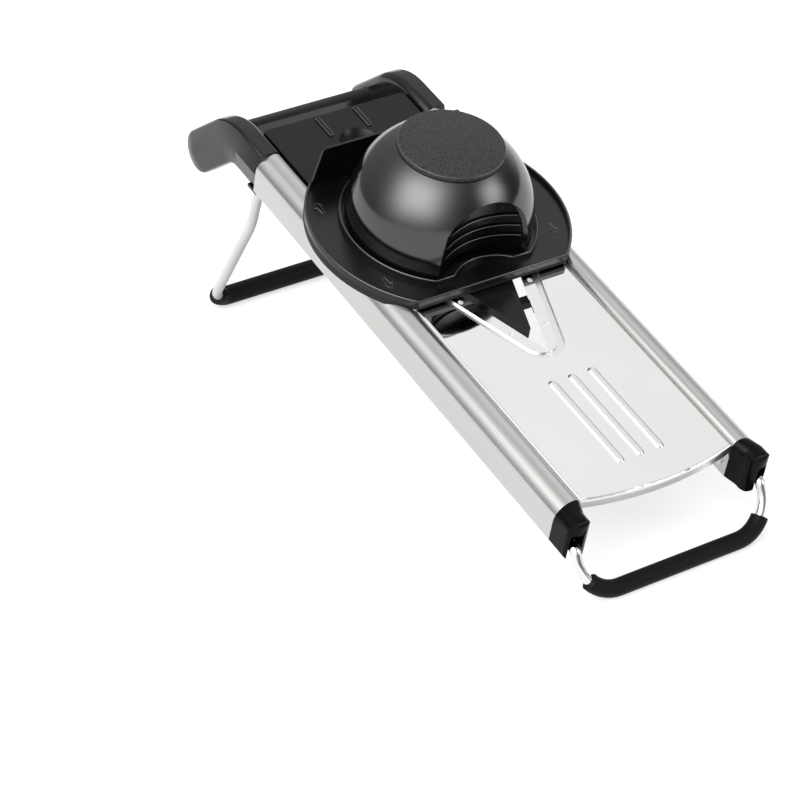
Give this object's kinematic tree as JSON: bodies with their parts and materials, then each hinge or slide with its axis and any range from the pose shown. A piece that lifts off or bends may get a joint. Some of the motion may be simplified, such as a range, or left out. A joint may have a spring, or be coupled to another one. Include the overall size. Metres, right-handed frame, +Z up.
{
  "type": "mandoline slicer",
  "caption": "Folding V-blade mandoline slicer with steel rails, sliding slicing insert, food guard with domed pusher, grip-bar handle and fold-under wire feet.",
  "frame": {"origin": "middle of the underside, on the table between the two feet", "axes": "+X to the right, +Y from the front foot towards the handle, +Z up"},
  "size_m": [0.156, 0.4208, 0.1769],
  "materials": {
    "rail_steel": "satin, brushed along the rails",
    "plate_steel": "bright satin",
    "blade_steel": "polished, ground edge",
    "foot_chrome": "bright plated wire",
    "stand_steel": "bright satin wire",
    "fastener_steel": "plain",
    "black_plastic": "semi-gloss",
    "insert_plastic": "satin",
    "black_rubber": "matte, fine grain"
  },
  "bodies": {
    "frame": {"left_rail": "rail_steel", "right_rail": "rail_steel", "lower_plate": "plate_steel", "left_blade": "blade_steel", "right_blade": "blade_steel", "cross_brace": "black_plastic", "left_guide": "insert_plastic", "right_guide": "insert_plastic", "handle": "black_plastic", "left_end_cap": "black_plastic", "right_end_cap": "black_plastic", "rail_screws": "fastener_steel", "left_bracket": "black_plastic", "right_bracket": "black_plastic"},
    "rear_stand": {"rear_stand_wire": "stand_steel", "rear_stand_sleeve": "black_rubber"},
    "front_foot": {"front_foot_wire": "foot_chrome", "front_foot_sleeve": "black_rubber"},
    "guard": {"guard_tray": "black_plastic"},
    "pusher": {"pusher_dome": "black_plastic", "finger_scoop": "black_plastic", "pusher_pad": "black_rubber", "spike_plate": "black_plastic", "food_spikes": "fastener_steel", "pusher_screws": "fastener_steel"},
    "insert": {"slicing_insert": "insert_plastic"}
  },
  "joints": [
    {"name": "rear_stand_fold", "type": "hinge", "parent": "frame", "child": "rear_stand", "pos_m": [0, 0.13189, 0.10492], "axis": [-1, 0, 0], "range_deg": [0, 104]},
    {"name": "front_foot_fold", "type": "hinge", "parent": "frame", "child": "front_foot", "pos_m": [0, -0.18646, 0.03061], "axis": [1, 0, 0], "range_deg": [0, 120]},
    {"name": "guard_slide", "type": "slide", "parent": "frame", "child": "guard", "axis": [0, 0.9651, 0.262], "range_m": [-0.158, 0.0349]},
    {"name": "pusher_slide", "type": "slide", "parent": "guard", "child": "pusher", "axis": [0, -0.262, 0.9651], "range_m": [0, 0.04]},
    {"name": "insert_slide", "type": "slide", "parent": "frame", "child": "insert", "axis": [0, 0.9651, 0.262], "range_m": [0, 0.15]}
  ]
}
